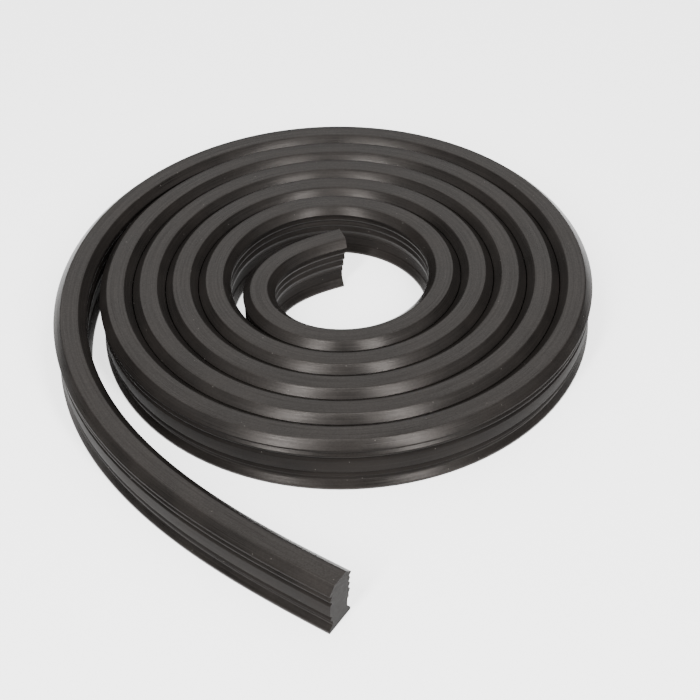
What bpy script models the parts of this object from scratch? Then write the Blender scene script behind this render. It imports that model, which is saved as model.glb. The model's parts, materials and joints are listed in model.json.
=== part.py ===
# Dishwasher door gasket: one length of solid extruded rubber strip, wound into a flat spiral
# that stands on its base, with its outer end sprung open. Metres, +Z up, standing on z = 0.

import math

import bmesh
import bpy
from mathutils import Vector

# Section of the strip. Its head and its base are equally wide, depths are measured in from
# their edges, and heights are above its base.
STRIP_WIDTH = 0.0117
STRIP_HEIGHT = 0.0210
FLAT_WIDTH = 0.0061
HEAD_EDGE_HEIGHT = 0.0184
HEAD_EDGE_THICKNESS = 0.0004
NECK_DEPTH = 0.0011
NECK_HEIGHT = 0.0173
BASE_LIP_HEIGHT = 0.0010

# Inner wall, which faces the coil's bore: three grip ribs, a step and a hollow waist.
INNER_RIB_HEIGHTS = (0.0106, 0.0134, 0.0160)
INNER_RIB_DEPTH = 0.0004
INNER_GROOVE_DEPTH = 0.0012
INNER_STEP_TOP = 0.0076
INNER_STEP_DEPTH = 0.0010
INNER_WAIST_TOP = 0.0067
INNER_WAIST_BOTTOM = 0.0037
INNER_WAIST_DEPTH = 0.0018

# Outer wall: one rib under the neck, a plain face, a lower rib and a hollow waist.
OUTER_RIB_HEIGHT = 0.0154
OUTER_RIB_DEPTH = 0.0003
OUTER_FACE_TOP = 0.0131
OUTER_FACE_BOTTOM = 0.0081
OUTER_FACE_DEPTH = 0.0004
OUTER_GROOVE_DEPTH = 0.0010
OUTER_GROOVE_HEIGHT = 0.0008
OUTER_LOWER_RIB_HEIGHT = 0.0060
OUTER_LOWER_RIB_DEPTH = 0.0005
OUTER_WAIST_TOP = 0.0045
OUTER_WAIST_BOTTOM = 0.0030
OUTER_WAIST_DEPTH = 0.0019

# Winding. Angles are in degrees about the coil's centre and go on growing from turn to turn.
TURN_GAP = 0.0003
FIRST_TURN_RADIUS = 0.0391
WOUND_FROM = 330.0
WOUND_TO = 1890.0
STATION_ANGLE = 12.0

# Free ends: how long each is, and its radius of bend at equal steps along it.
CURL_LENGTH = 0.1286
CURL_RADII = (0.0359, 0.0221, 0.2530)
TAIL_LENGTH = 0.3282
TAIL_RADII = (0.0990, 0.1330, 1.3000)
INNER_CUT_LEAN = 0.0035
TAIL_CUT_LEAN = 0.0006
WALK_STEP = 0.0005

RUBBER_COLOUR = (0.020, 0.019, 0.018, 1.0)
RUBBER_ROUGHNESS = 0.42


def clear_scene():
    for item in list(bpy.data.objects):
        bpy.data.objects.remove(item, do_unlink=True)


def inner_wall():
    """Depths and heights up the wall that faces the bore, from the base to the head's edge."""
    points = [
        (0.0, 0.0),
        (0.0, BASE_LIP_HEIGHT),
        (INNER_WAIST_DEPTH, INNER_WAIST_BOTTOM),
        (INNER_WAIST_DEPTH, INNER_WAIST_TOP),
        (INNER_STEP_DEPTH, INNER_STEP_TOP),
    ]
    below = INNER_STEP_TOP
    for rib in INNER_RIB_HEIGHTS:
        points.append((INNER_GROOVE_DEPTH, (below + rib) / 2))
        points.append((INNER_RIB_DEPTH, rib))
        below = rib
    return points + head()


def outer_wall():
    """Depths and heights up the wall that faces away from the bore."""
    points = [
        (0.0, 0.0),
        (0.0, BASE_LIP_HEIGHT),
        (OUTER_WAIST_DEPTH, OUTER_WAIST_BOTTOM),
        (OUTER_WAIST_DEPTH, OUTER_WAIST_TOP),
        (OUTER_LOWER_RIB_DEPTH, OUTER_LOWER_RIB_HEIGHT),
        (OUTER_GROOVE_DEPTH, OUTER_FACE_BOTTOM - OUTER_GROOVE_HEIGHT),
        (OUTER_FACE_DEPTH, OUTER_FACE_BOTTOM),
        (OUTER_FACE_DEPTH, OUTER_FACE_TOP),
        (OUTER_GROOVE_DEPTH, OUTER_FACE_TOP + OUTER_GROOVE_HEIGHT),
        (OUTER_RIB_DEPTH, OUTER_RIB_HEIGHT),
    ]
    return points + head()


def head():
    """Depths and heights of either side of the head, from its neck to the edge of its flat."""
    return [
        (NECK_DEPTH, NECK_HEIGHT),
        (0.0, HEAD_EDGE_HEIGHT - HEAD_EDGE_THICKNESS),
        (0.0, HEAD_EDGE_HEIGHT),
        ((STRIP_WIDTH - FLAT_WIDTH) / 2, STRIP_HEIGHT),
    ]


def section():
    """The closed section as (offset, height), with offset growing away from the coil's centre."""
    edge = STRIP_WIDTH / 2
    outer = [(edge - depth, height) for depth, height in outer_wall()]
    inner = [(depth - edge, height) for depth, height in reversed(inner_wall())]
    return outer + inner


def pitch():
    """Distance from one turn to the next: the strip's width and the gap."""
    return STRIP_WIDTH + TURN_GAP


def wound_point(angle):
    """Centre of the strip on the spiral, and the heading of the growing spiral there."""
    radius = FIRST_TURN_RADIUS + pitch() * (angle - 360.0) / 360.0
    turn = math.radians(angle)
    lag = math.atan2(pitch() / (2 * math.pi), radius)
    place = Vector((radius * math.cos(turn), radius * math.sin(turn)))
    return place, turn + math.pi / 2 - lag, radius


def bend_at(share, bends):
    """Curvature at a share of a free end, from straight lines between its stated bends."""
    place = share * (len(bends) - 1)
    index = min(int(place), len(bends) - 2)
    rest = place - index
    return bends[index] * (1 - rest) + bends[index + 1] * rest


def free_end(angle, length, radii, way):
    """Points and headings along a free end that leaves the spiral at an angle.

    way is 1 for the tail, which goes on anticlockwise, and -1 for the inner curl.
    """
    place, heading, radius = wound_point(angle)
    bends = [1 / radius] + [1 / bend for bend in radii]
    steps = round(length / WALK_STEP)
    walked = [(place.copy(), heading)]
    for count in range(steps):
        middle = (count + 0.5) / steps
        half_turn = way * bend_at(middle, bends) * length / steps / 2
        heading += half_turn
        place = place + Vector((math.cos(heading), math.sin(heading))) * way * length / steps
        heading += half_turn
        walked.append((place.copy(), heading))
    return walked


def on_rays(walked, angle, way):
    """The walked points that lie on the rays of the stations, and the last point of all."""
    picked = []
    turned = angle
    wanted = angle + way * STATION_ANGLE
    for (before, heading_before), (after, heading_after) in zip(walked, walked[1:]):
        turned_before = turned
        step = math.atan2(before.x * after.y - before.y * after.x, before.dot(after))
        turned += math.degrees(step)
        if way * (turned - wanted) >= 0:
            share = (wanted - turned_before) / (turned - turned_before)
            heading = heading_before * (1 - share) + heading_after * share
            picked.append((before.lerp(after, share), heading))
            wanted += way * STATION_ANGLE
    if abs(turned - (wanted - way * STATION_ANGLE)) < STATION_ANGLE / 4:
        picked.pop()
    picked.append(walked[-1])
    return picked


def stations():
    """Places and headings along the whole strip, from its inner end to the end of its tail.

    They lie on rays one station angle apart, so the facets of neighbouring turns stay parallel.
    """
    curl = on_rays(free_end(WOUND_FROM, CURL_LENGTH, CURL_RADII, -1), WOUND_FROM, -1)
    tail = on_rays(free_end(WOUND_TO, TAIL_LENGTH, TAIL_RADII, 1), WOUND_TO, 1)
    count = round((WOUND_TO - WOUND_FROM) / STATION_ANGLE)
    wound = []
    for number in range(count + 1):
        place, heading, _ = wound_point(WOUND_FROM + (WOUND_TO - WOUND_FROM) * number / count)
        wound.append((place, heading))
    return curl[::-1] + wound + tail


def sweep(outline, route):
    """Rings of the section along the route, each as a list of corners in space."""
    rings = []
    for number, (place, heading) in enumerate(route):
        along = Vector((math.cos(heading), math.sin(heading)))
        outward = Vector((along.y, -along.x))
        lean = 0.0
        if number == 0:
            lean = INNER_CUT_LEAN
        if number == len(route) - 1:
            lean = -TAIL_CUT_LEAN
        ring = []
        for offset, height in outline:
            back = lean * (1 - height / STRIP_HEIGHT)
            spot = place + outward * offset + along * back
            ring.append(Vector((spot.x, spot.y, height)))
        rings.append(ring)
    return rings


def centred(rings):
    """The rings moved so that the middle of the box around them stands over the origin."""
    xs = [corner.x for ring in rings for corner in ring]
    ys = [corner.y for ring in rings for corner in ring]
    middle = Vector(((min(xs) + max(xs)) / 2, (min(ys) + max(ys)) / 2, 0.0))
    return [[corner - middle for corner in ring] for ring in rings]


def strip_mesh(rings):
    bm = bmesh.new()
    loops = [[bm.verts.new(corner) for corner in ring] for ring in rings]
    size = len(loops[0])
    for here, there in zip(loops, loops[1:]):
        for index in range(size):
            following = (index + 1) % size
            bm.faces.new((here[index], here[following], there[following], there[index]))
    bm.faces.new(loops[0][::-1])
    bm.faces.new(loops[-1])
    bmesh.ops.recalc_face_normals(bm, faces=bm.faces)
    mesh = bpy.data.meshes.new("gasket_strip")
    bm.to_mesh(mesh)
    bm.free()
    mesh.shade_smooth()
    mesh.set_sharp_from_angle(angle=math.radians(30))
    return mesh


def rubber():
    material = bpy.data.materials.new("black_rubber")
    material.use_nodes = True
    shader = material.node_tree.nodes["Principled BSDF"]
    shader.inputs["Base Color"].default_value = RUBBER_COLOUR
    shader.inputs["Roughness"].default_value = RUBBER_ROUGHNESS
    shader.inputs["Metallic"].default_value = 0.0
    return material


def build():
    clear_scene()
    rings = centred(sweep(section(), stations()))
    strip = bpy.data.objects.new("gasket_strip", strip_mesh(rings))
    strip.data.materials.append(rubber())
    bpy.context.scene.collection.objects.link(strip)


build()
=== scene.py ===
import json
import math

import bmesh
import bpy
from mathutils import Matrix, Vector


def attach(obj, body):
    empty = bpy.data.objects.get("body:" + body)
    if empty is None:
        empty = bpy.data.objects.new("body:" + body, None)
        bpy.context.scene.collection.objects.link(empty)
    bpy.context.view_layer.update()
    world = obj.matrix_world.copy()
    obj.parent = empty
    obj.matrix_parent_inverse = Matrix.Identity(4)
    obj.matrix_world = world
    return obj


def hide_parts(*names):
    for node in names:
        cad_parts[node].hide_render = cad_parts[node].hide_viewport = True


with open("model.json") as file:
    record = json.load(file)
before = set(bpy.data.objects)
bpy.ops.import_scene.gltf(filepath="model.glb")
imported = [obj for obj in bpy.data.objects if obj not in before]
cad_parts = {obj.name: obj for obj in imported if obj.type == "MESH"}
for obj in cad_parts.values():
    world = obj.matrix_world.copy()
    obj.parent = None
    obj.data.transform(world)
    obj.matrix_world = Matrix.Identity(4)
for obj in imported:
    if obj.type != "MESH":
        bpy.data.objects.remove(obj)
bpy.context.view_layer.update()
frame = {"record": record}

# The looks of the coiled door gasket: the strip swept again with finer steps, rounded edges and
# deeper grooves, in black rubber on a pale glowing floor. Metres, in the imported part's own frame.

MM = 0.001

# Section of the strip in millimetres. Offsets are from its middle and grow away from the bore,
# and heights are above its foot. A corner is an offset, a height and a radius of rounding.
EDGE = 5.85
FLAT_EDGE = 3.05
TOP = 21.0
OUTER_FOOT = ((EDGE, 0.0, 0.25), (EDGE, 1.0, 0.45))
OUTER_WAIST = ((3.95, 3.0, 0.9), (3.95, 4.5, 0.6))
OUTER_LOWER_RIB = ((5.35, 6.0, 0.5), (4.55, 7.3, 0.12))
OUTER_FACE = ((5.45, 8.1, 0.4), (5.45, 13.1, 0.4))
OUTER_UPPER_RIB = ((4.45, 13.9, 0.12), (5.45, 14.9, 0.3), (5.60, 15.6, 0.4), (4.35, 16.8, 0.2))
OUTER_HEAD = ((EDGE, 17.8, 0.15), (EDGE, 18.4, 0.25), (FLAT_EDGE, TOP, 0.9))
INNER_HEAD = ((-FLAT_EDGE, TOP, 1.3), (-EDGE, 18.4, 0.3), (-EDGE, 18.0, 0.2), (-4.75, 17.3, 0.25))
INNER_STEP = ((-4.85, 7.6, 0.3),)
INNER_WAIST = ((-4.05, 6.7, 0.4), (-4.05, 3.7, 0.9))
INNER_FOOT = ((-EDGE, 1.0, 0.45), (-EDGE, 0.0, 0.25))

# Grip ribs of the inner wall from the top, and the height and rounding of the groove below each.
INNER_RIB_OFFSET = -5.45
INNER_RIB_ROUNDING = 0.5
INNER_RIB_HEIGHTS = (16.0, 13.4, 10.6)
INNER_GROOVE_OFFSET = -4.65
INNER_GROOVES = ((14.7, 0.3), (12.0, 0.3), (9.1, 0.4))

# Winding and free ends, repeated from the part. Angles are in degrees about the coil's centre.
WIDTH = 2 * EDGE * MM
HEIGHT = TOP * MM
TURN_GAP = 0.3 * MM
PITCH = WIDTH + TURN_GAP
FIRST_TURN_RADIUS = 39.1 * MM
WOUND_FROM = 330.0
WOUND_TO = 1890.0
CURL_LENGTH = 128.6 * MM
CURL_RADII = (35.9 * MM, 22.1 * MM, 253.0 * MM)
TAIL_LENGTH = 328.2 * MM
TAIL_RADII = (99.0 * MM, 133.0 * MM, 1300.0 * MM)
INNER_CUT_LEAN = 3.5 * MM
TAIL_CUT_LEAN = 0.6 * MM

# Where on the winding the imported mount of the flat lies, in degrees.
MOUNT_ANGLE = 1710.0

# How finely the strip is swept: degrees or lengths between its rings, the steps walked from one
# ring of a free end to the next, and the edges round each corner of the section.
WOUND_STEP = 3.0
CURL_STEP = 2.0 * MM
TAIL_STEP = 3.0 * MM
WALKED_PARTS = 8
ROUND_STEPS = 3

# The largest share of a side of the section that one rounded corner takes.
ROUNDED_SHARE = 0.48

# Edges that turn by more degrees than this are shaded sharp.
SHARP_ANGLE = 40.0

# Place of the cut faces' material among the strip's two.
CUT_SLOT = 1

# Bands of the rubber's surface: heights above the foot, and how far round the section from the
# outer edge of the foot.
WALL_BAND = (3.2 * MM, 15.6 * MM)
WAIST_BAND = (3.2 * MM, 8.5 * MM)
HEAD_EDGE_BAND = (17.2 * MM, 18.35 * MM)
FLAT_BAND = (HEIGHT - 0.15 * MM, HEIGHT + MM)
OUTER_SIDE_BAND = (0.0, 28.0 * MM)

# Patterns of the rubber, in noise cells per metre. Those on the strip count along it, round its
# section and up; the others count along X, Y and Z.
DIE_LINE_CELLS = (14.0, 3200.0, 0.0)
STREAK_CELLS = (30.0, 1500.0, 0.0)
BLOOM_CELLS = (55.0, 55.0, 90.0)
GRAIN_CELLS = (4200.0, 4200.0, 4200.0)
MOTTLE_CELLS = (1700.0, 1700.0, 1700.0)
DUST_CELLS = 230.0
DRAG_MARK_CELLS = (400.0, 400.0, 2600.0)
NOISE_ROUGHNESS = 0.55

# Spans of a pattern's values that its effect is spread over, and the share of its colour that
# die lines and dust specks show over theirs. A speck's value is its radius in cells.
MID_NOISE = (0.3, 0.7)
BLOOM_SPAN = (0.35, 0.7)
LINE_SPAN = (0.52, 0.75)
SPECK_SPAN = (0.030, 0.045)
NONE_TO_ALL = (0.0, 1.0)
LINE_SHARE = (0.0, 0.5)
SPECK_SHARE = (0.6, 0.0)

# Colours of the rubber: plain, under bloom, on die lines, of dust, and of the two cut faces.
PLAIN_BLACK = (0.0068, 0.0060, 0.0055, 1.0)
BLOOM_BLACK = (0.0115, 0.0098, 0.0088, 1.0)
LINE_BLACK = (0.0200, 0.0175, 0.0160, 1.0)
DUST_GREY = (0.14, 0.13, 0.12, 1.0)
CUT_COLOURS = ((0.009, 0.008, 0.0075, 1.0), (0.018, 0.0165, 0.0155, 1.0))

# Gloss: the specular level of the slopes and of the matt bands, what the flat has on top, how
# matt the grip ribs are, and how far streaks and mottle lower and raise it.
SLOPE_GLOSS = 0.19
MATT_GLOSS = 0.05
FLAT_EXTRA_GLOSS = 0.21
CUT_GLOSS = 0.05
GRIP_RIB_MATTNESS = 0.45
STREAK_SWING = (0.78, 1.24)
MOTTLE_SWING = (0.84, 1.16)
WARM_TINT = (1.0, 0.93, 0.88, 1.0)

# Roughness under bloom, what die lines and matt bands add to it, and that of the cut faces.
BLOOM_ROUGHNESS = (0.24, 0.32)
LINE_ROUGHNESS = (-0.03, 0.05)
MATT_ROUGHNESS = (0.02, 0.28)
CUT_ROUGHNESS = (0.5, 0.7)

# Fine relief by bump: its depth and its strength.
LINE_RELIEF = (0.04 * MM, 0.35)
GRAIN_RELIEF = (0.02 * MM, 0.5)
DRAG_MARK_RELIEF = (0.08 * MM, 0.7)

# The floor: its colours, how strongly it glows, and how far it lies under the foot.
FLOOR_SIZE = 6.0
FLOOR_DROP = 0.1 * MM
FLOOR_COLOURS = ((0.90, 0.90, 0.90, 1.0), (0.93, 0.93, 0.93, 1.0))
FLOOR_CELLS = (3.0, 3.0, 3.0)
FLOOR_ROUGHNESS = 0.85
FLOOR_GLOSS = 0.1
FLOOR_GLOW = 1.9
WHITE = (1.0, 1.0, 1.0, 1.0)

# Soft boxes: name, azimuth, elevation, distance, width and height, and watts. Azimuth 0 is on
# the camera's side, and 90 is to its right.
SOFT_BOXES = (
    ("key_left", -31.0, 44.0, 1.1, (0.13, 0.75), 15.0),
    ("key_right", 31.0, 44.0, 1.1, (0.13, 0.75), 15.0),
    ("side_left", -68.0, 40.0, 1.2, (1.0, 0.5), 2.2),
    ("side_right", 68.0, 40.0, 1.2, (1.0, 0.5), 2.0),
    ("back_panel", 190.0, 46.0, 1.2, (1.6, 0.95), 6.4),
    ("top_panel", 0.0, 88.0, 1.2, (1.0, 1.0), 6.0),
)
STUDIO_COLOUR = (1.0, 0.99, 0.98, 1.0)
STUDIO_GLOW = 0.14

# Photograph's view: the camera looks from in front at a point on the flat's plane, stated from
# the coil's centre. The distance is in metres, and the angles are in degrees.
IMAGE_SIZE = 700
FOCAL_PIXELS = 1514.0
SENSOR = 36.0
CAMERA_ELEVATION = 42.22
CAMERA_DISTANCE = 0.5218
CAMERA_ROLL = -1.02
CAMERA_CLIP = (0.01, 20.0)
TARGET_FROM_CENTRE = (3.85 * MM, -44.07 * MM)


def wound_point(angle):
    """Centre of the strip on the spiral about the origin, the heading there and the radius."""
    radius = FIRST_TURN_RADIUS + PITCH * (angle - 360.0) / 360.0
    turn = math.radians(angle)
    lag = math.atan2(PITCH / (2 * math.pi), radius)
    place = Vector((radius * math.cos(turn), radius * math.sin(turn)))
    return place, turn + math.pi / 2 - lag, radius


def bend_at(share, bends):
    """Curvature at a share of a free end, from straight lines between its stated bends."""
    place = share * (len(bends) - 1)
    index = min(int(place), len(bends) - 2)
    rest = place - index
    return bends[index] * (1 - rest) + bends[index + 1] * rest


def free_end(angle, length, radii, way, step):
    """Points and headings along a free end: way is 1 for the tail and -1 for the inner curl."""
    place, heading, radius = wound_point(angle)
    bends = [1 / radius] + [1 / bend for bend in radii]
    steps = round(length / step) * WALKED_PARTS
    picked = []
    for count in range(steps):
        half_turn = way * bend_at((count + 0.5) / steps, bends) * length / steps / 2
        heading += half_turn
        place = place + Vector((math.cos(heading), math.sin(heading))) * way * length / steps
        heading += half_turn
        if (count + 1) % WALKED_PARTS == 0:
            picked.append((place.copy(), heading))
    return picked


def route():
    """Places and headings along the whole strip, from its inner end to the end of its tail."""
    curl = free_end(WOUND_FROM, CURL_LENGTH, CURL_RADII, -1, CURL_STEP)
    tail = free_end(WOUND_TO, TAIL_LENGTH, TAIL_RADII, 1, TAIL_STEP)
    count = round((WOUND_TO - WOUND_FROM) / WOUND_STEP)
    wound = [wound_point(WOUND_FROM + WOUND_STEP * number)[:2] for number in range(count + 1)]
    return curl[::-1] + wound + tail


def section_corners():
    """Corners of the section in metres, up its outer wall and down its inner one."""
    ribs = ()
    for rib_height, (groove_height, rounding) in zip(INNER_RIB_HEIGHTS, INNER_GROOVES):
        rib = (INNER_RIB_OFFSET, rib_height, INNER_RIB_ROUNDING)
        groove = (INNER_GROOVE_OFFSET, groove_height, rounding)
        ribs += (rib, groove)
    outer = OUTER_FOOT + OUTER_WAIST + OUTER_LOWER_RIB + OUTER_FACE + OUTER_UPPER_RIB + OUTER_HEAD
    inner = INNER_HEAD + ribs + INNER_STEP + INNER_WAIST + INNER_FOOT
    return [(offset * MM, height * MM, radius * MM) for offset, height, radius in outer + inner]


def rounded(corners):
    """The outline through the corners, each turned into an arc of about its radius."""
    outline = []
    count = len(corners)
    for index in range(count):
        before = Vector(corners[index - 1][:2])
        corner = Vector(corners[index][:2])
        after = Vector(corners[(index + 1) % count][:2])
        to_before = before - corner
        to_after = after - corner
        reach = corners[index][2] / math.tan(to_before.angle(to_after) / 2)
        reach = min(reach, ROUNDED_SHARE * to_before.length, ROUNDED_SHARE * to_after.length)
        start = corner + to_before.normalized() * reach
        end = corner + to_after.normalized() * reach
        for step in range(ROUND_STEPS + 1):
            share = step / ROUND_STEPS
            outline.append(start.lerp(corner, share).lerp(corner.lerp(end, share), share))
    return outline


def running_lengths(points):
    """How far each point lies along the line through them all."""
    lengths = [0.0]
    for before, after in zip(points, points[1:]):
        lengths.append(lengths[-1] + (after - before).length)
    return lengths


def sweep(outline, stations, centre):
    """Rings of the section along the route, with a leaning cut at either end."""
    leans = [0.0] * len(stations)
    leans[0] = INNER_CUT_LEAN
    leans[-1] = -TAIL_CUT_LEAN
    rings = []
    for (place, heading), lean in zip(stations, leans):
        forward = Vector((math.cos(heading), math.sin(heading)))
        outward = Vector((forward.y, -forward.x))
        ring = []
        for offset, height in outline:
            spot = centre + place + outward * offset + forward * lean * (1 - height / HEIGHT)
            ring.append(Vector((spot.x, spot.y, height)))
        rings.append(ring)
    return rings


def strip_mesh(rings, lengths, ways_round):
    """The rings joined and closed by the two cuts.

    strip_coord tells where on the strip a corner is: along it, round its section, and its height.
    """
    bm = bmesh.new()
    strip_coord = bm.verts.layers.float_vector.new("strip_coord")
    loops = []
    for ring, length in zip(rings, lengths):
        loop = []
        for corner, way_round in zip(ring, ways_round):
            vertex = bm.verts.new(corner)
            vertex[strip_coord] = Vector((length, way_round, corner.z))
            loop.append(vertex)
        loops.append(loop)
    size = len(ways_round)
    for here, there in zip(loops, loops[1:]):
        for index in range(size):
            following = (index + 1) % size
            bm.faces.new((here[index], here[following], there[following], there[index]))
    for cut in (bm.faces.new(loops[0][::-1]), bm.faces.new(loops[-1])):
        cut.material_index = CUT_SLOT
    bmesh.ops.recalc_face_normals(bm, faces=bm.faces)
    mesh = bpy.data.meshes.new("rubber_strip")
    bm.to_mesh(mesh)
    bm.free()
    mesh.shade_smooth()
    mesh.set_sharp_from_angle(angle=math.radians(SHARP_ANGLE))
    return mesh


def make_strip(centre):
    outline = rounded(section_corners())
    stations = route()
    lengths = running_lengths([place for place, _ in stations])
    mesh = strip_mesh(sweep(outline, stations, centre), lengths, running_lengths(outline))
    mesh.materials.append(rubber())
    mesh.materials.append(cut_rubber())
    strip = bpy.data.objects.new("rubber_strip", mesh)
    bpy.context.scene.collection.objects.link(strip)
    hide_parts("gasket_strip")
    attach(strip, "root")


class Nodes:
    """The nodes of one material. What goes into a socket is a node's output or a plain value."""

    def __init__(self, name):
        self.material = bpy.data.materials.new(name)
        self.material.use_nodes = True
        self.tree = self.material.node_tree
        self.shader = self.tree.nodes["Principled BSDF"]

    def give(self, socket, value):
        """Joins a socket to a node's output, or sets the socket's own value."""
        if isinstance(value, bpy.types.NodeSocket):
            self.tree.links.new(value, socket)
        else:
            socket.default_value = value

    def shade(self, name, value):
        """Gives the material's shader one of its inputs."""
        self.give(self.shader.inputs[name], value)

    def add(self, kind, inputs=None, **settings):
        """A new node with its settings, and its inputs by name or number."""
        node = self.tree.nodes.new(kind)
        for name, value in settings.items():
            setattr(node, name, value)
        for name, value in (inputs or {}).items():
            self.give(node.inputs[name], value)
        return node

    def space(self):
        """Places in the object's own frame."""
        return self.add("ShaderNodeTexCoord").outputs["Object"]

    def noise(self, vector, cells, detail=3.0):
        """Noise about one half, with so many cells per metre along each axis of the vector."""
        scaled = self.add("ShaderNodeMapping", {"Vector": vector, "Scale": cells})
        inputs = {
            "Vector": scaled.outputs["Vector"],
            "Scale": 1.0,
            "Detail": detail,
            "Roughness": NOISE_ROUGHNESS,
        }
        return self.add("ShaderNodeTexNoise", inputs).outputs["Fac"]

    def ranged(self, value, span, to):
        """A value's span stretched over another span and held at both ends."""
        inputs = {
            "Value": value,
            "From Min": span[0],
            "From Max": span[1],
            "To Min": to[0],
            "To Max": to[1],
        }
        return self.add("ShaderNodeMapRange", inputs).outputs["Result"]

    def maths(self, operation, first, second):
        node = self.add("ShaderNodeMath", {0: first, 1: second}, operation=operation)
        return node.outputs["Value"]

    def within(self, value, band):
        """One where the value lies in the band, and nought elsewhere."""
        low, high = band
        inputs = {0: value, 1: (low + high) / 2, 2: (high - low) / 2}
        return self.add("ShaderNodeMath", inputs, operation="COMPARE").outputs["Value"]

    def mixed(self, share, first, second):
        """Two colours mixed by a share: 0 is the first and 1 the second."""
        inputs = {"Factor": share, 6: first, 7: second}
        return self.add("ShaderNodeMix", inputs, data_type="RGBA").outputs[2]

    def bumped(self, height, relief, before=None):
        """Normals over a relief of a depth and a strength, on top of the normals before it."""
        distance, strength = relief
        inputs = {"Height": height, "Distance": distance, "Strength": strength}
        if before is not None:
            inputs["Normal"] = before
        return self.add("ShaderNodeBump", inputs).outputs["Normal"]


def rubber():
    """Black extruded rubber: die lines along the strip, a dull bloom and a few dust specks."""
    nodes = Nodes("black_rubber")
    strip = nodes.add("ShaderNodeAttribute", attribute_name="strip_coord").outputs["Vector"]
    space = nodes.space()
    lines = nodes.noise(strip, DIE_LINE_CELLS, detail=4.0)
    bloom = nodes.noise(space, BLOOM_CELLS, detail=5.0)
    matt, flat = gloss_bands(nodes, strip)
    nodes.shade("Base Color", rubber_colour(nodes, space, lines, bloom))
    nodes.shade("Specular IOR Level", rubber_gloss(nodes, strip, space, matt, flat))
    nodes.shade("Specular Tint", WARM_TINT)
    nodes.shade("Roughness", rubber_roughness(nodes, lines, bloom, matt))
    grain = nodes.noise(space, GRAIN_CELLS, detail=2.0)
    nodes.shade("Normal", nodes.bumped(grain, GRAIN_RELIEF, before=nodes.bumped(lines, LINE_RELIEF)))
    return nodes.material


def gloss_bands(nodes, strip):
    """How matt each place is, and whether it is on the flat top.

    The outer wall, both waists and the edge of the head are matt, the grip ribs are half matt,
    and the slopes of the head, the flank under it and the foot are glossy.
    """
    split = nodes.add("ShaderNodeSeparateXYZ", {"Vector": strip})
    height = split.outputs["Z"]
    wall = nodes.within(height, WALL_BAND)
    outer = nodes.maths("MULTIPLY", wall, nodes.within(split.outputs["Y"], OUTER_SIDE_BAND))
    outer_or_waist = nodes.maths("MAXIMUM", outer, nodes.within(height, WAIST_BAND))
    ribs = nodes.ranged(wall, NONE_TO_ALL, (0.0, GRIP_RIB_MATTNESS))
    edge_or_ribs = nodes.maths("MAXIMUM", nodes.within(height, HEAD_EDGE_BAND), ribs)
    matt = nodes.maths("MAXIMUM", outer_or_waist, edge_or_ribs)
    return matt, nodes.within(height, FLAT_BAND)


def rubber_colour(nodes, space, lines, bloom):
    body = nodes.mixed(nodes.ranged(bloom, BLOOM_SPAN, NONE_TO_ALL), PLAIN_BLACK, BLOOM_BLACK)
    streaked = nodes.mixed(nodes.ranged(lines, LINE_SPAN, LINE_SHARE), body, LINE_BLACK)
    inputs = {"Vector": space, "Scale": DUST_CELLS, "Randomness": 1.0}
    distance = nodes.add("ShaderNodeTexVoronoi", inputs).outputs["Distance"]
    specks = nodes.ranged(distance, SPECK_SPAN, SPECK_SHARE)
    return nodes.mixed(specks, streaked, DUST_GREY)


def rubber_gloss(nodes, strip, space, matt, flat):
    slopes = nodes.ranged(matt, NONE_TO_ALL, (SLOPE_GLOSS, MATT_GLOSS))
    gloss = nodes.maths("ADD", slopes, nodes.ranged(flat, NONE_TO_ALL, (0.0, FLAT_EXTRA_GLOSS)))
    streaks = nodes.noise(strip, STREAK_CELLS)
    gloss = nodes.maths("MULTIPLY", gloss, nodes.ranged(streaks, MID_NOISE, STREAK_SWING))
    mottle = nodes.noise(space, MOTTLE_CELLS, detail=1.0)
    return nodes.maths("MULTIPLY", gloss, nodes.ranged(mottle, MID_NOISE, MOTTLE_SWING))


def rubber_roughness(nodes, lines, bloom, matt):
    bloomed = nodes.ranged(bloom, MID_NOISE, BLOOM_ROUGHNESS)
    lined = nodes.maths("ADD", bloomed, nodes.ranged(lines, MID_NOISE, LINE_ROUGHNESS))
    return nodes.maths("ADD", lined, nodes.ranged(matt, NONE_TO_ALL, MATT_ROUGHNESS))


def cut_rubber():
    """The face of a cut: duller, with the fine drag marks of the blade."""
    nodes = Nodes("cut_rubber")
    drag = nodes.noise(nodes.space(), DRAG_MARK_CELLS)
    nodes.shade("Base Color", nodes.mixed(drag, *CUT_COLOURS))
    nodes.shade("Specular IOR Level", CUT_GLOSS)
    nodes.shade("Roughness", nodes.ranged(drag, MID_NOISE, CUT_ROUGHNESS))
    nodes.shade("Normal", nodes.bumped(drag, DRAG_MARK_RELIEF))
    return nodes.material


def floor_material():
    nodes = Nodes("pale_floor")
    soft = nodes.noise(nodes.space(), FLOOR_CELLS)
    nodes.shade("Base Color", nodes.mixed(soft, *FLOOR_COLOURS))
    nodes.shade("Roughness", FLOOR_ROUGHNESS)
    nodes.shade("Specular IOR Level", FLOOR_GLOSS)
    nodes.shade("Emission Color", WHITE)
    nodes.shade("Emission Strength", FLOOR_GLOW)
    return nodes.material


def make_floor():
    bpy.ops.mesh.primitive_plane_add(size=FLOOR_SIZE, location=(0.0, 0.0, -FLOOR_DROP))
    floor = bpy.context.object
    floor.name = "floor"
    floor.data.materials.append(floor_material())


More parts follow.
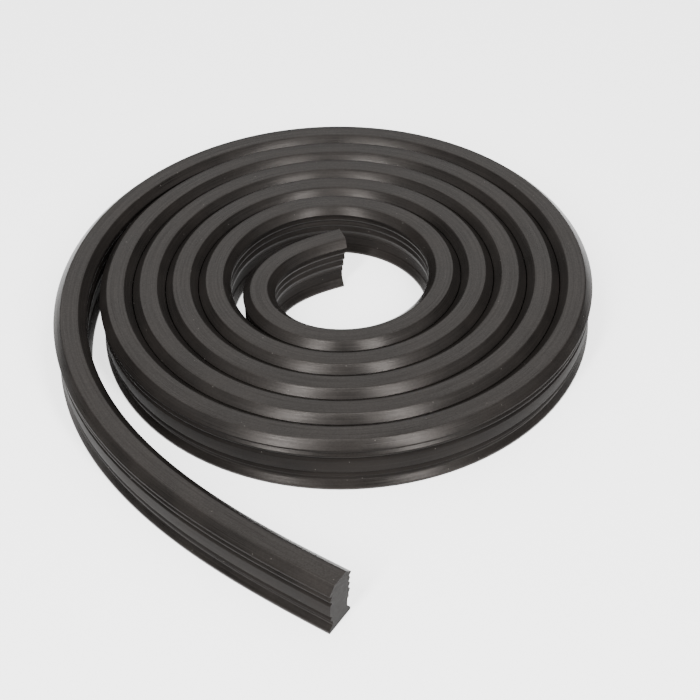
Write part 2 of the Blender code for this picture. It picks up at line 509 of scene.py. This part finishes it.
def aimed(place, target):
    """A matrix that stands at a place and looks at a target, for a light or a camera."""
    away = (place - target).normalized()
    side = Vector((0.0, 0.0, 1.0)).cross(away).normalized()
    up = away.cross(side)
    matrix = Matrix((side, up, away)).transposed().to_4x4()
    matrix.translation = place
    return matrix


def away_from(target, azimuth, elevation, distance):
    """The place at a distance from the target: azimuth 0 is in front, and 90 to the right."""
    turn = math.radians(azimuth)
    rise = math.radians(elevation)
    way = Vector((math.sin(turn) * math.cos(rise), -math.cos(turn) * math.cos(rise), math.sin(rise)))
    return target + way * distance


def make_lights(target):
    for name, azimuth, elevation, distance, size, power in SOFT_BOXES:
        light = bpy.data.lights.new(name, "AREA")
        light.shape = "RECTANGLE"
        light.size, light.size_y = size
        light.energy = power
        lamp = bpy.data.objects.new(name, light)
        lamp.matrix_world = aimed(away_from(target, azimuth, elevation, distance), target)
        bpy.context.scene.collection.objects.link(lamp)
    world = bpy.data.worlds.new("studio")
    world.use_nodes = True
    background = world.node_tree.nodes["Background"]
    background.inputs["Color"].default_value = STUDIO_COLOUR
    background.inputs["Strength"].default_value = STUDIO_GLOW
    bpy.context.scene.world = world


def make_camera(target):
    data = bpy.data.cameras.new("camera")
    data.sensor_fit = "HORIZONTAL"
    data.sensor_width = SENSOR
    data.lens = SENSOR * FOCAL_PIXELS / IMAGE_SIZE
    data.clip_start, data.clip_end = CAMERA_CLIP
    place = away_from(target, 0.0, CAMERA_ELEVATION, CAMERA_DISTANCE)
    roll = Matrix.Rotation(math.radians(CAMERA_ROLL), 4, "Z")
    camera = bpy.data.objects.new("camera", data)
    camera.matrix_world = aimed(place, target) @ roll
    bpy.context.scene.collection.objects.link(camera)
    bpy.context.scene.camera = camera


def coil_centre():
    """The middle of the winding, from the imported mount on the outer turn's flat."""
    mounts = {mount["name"]: mount for mount in frame["record"]["mounts"]}
    x, y, _ = mounts["sealing_face"]["pos_m"]
    return Vector((x, y)) - wound_point(MOUNT_ANGLE)[0]


centre = coil_centre()
make_strip(centre)
target = Vector((centre.x + TARGET_FROM_CENTRE[0], centre.y + TARGET_FROM_CENTRE[1], HEIGHT))
make_floor()
make_lights(target)
make_camera(target)
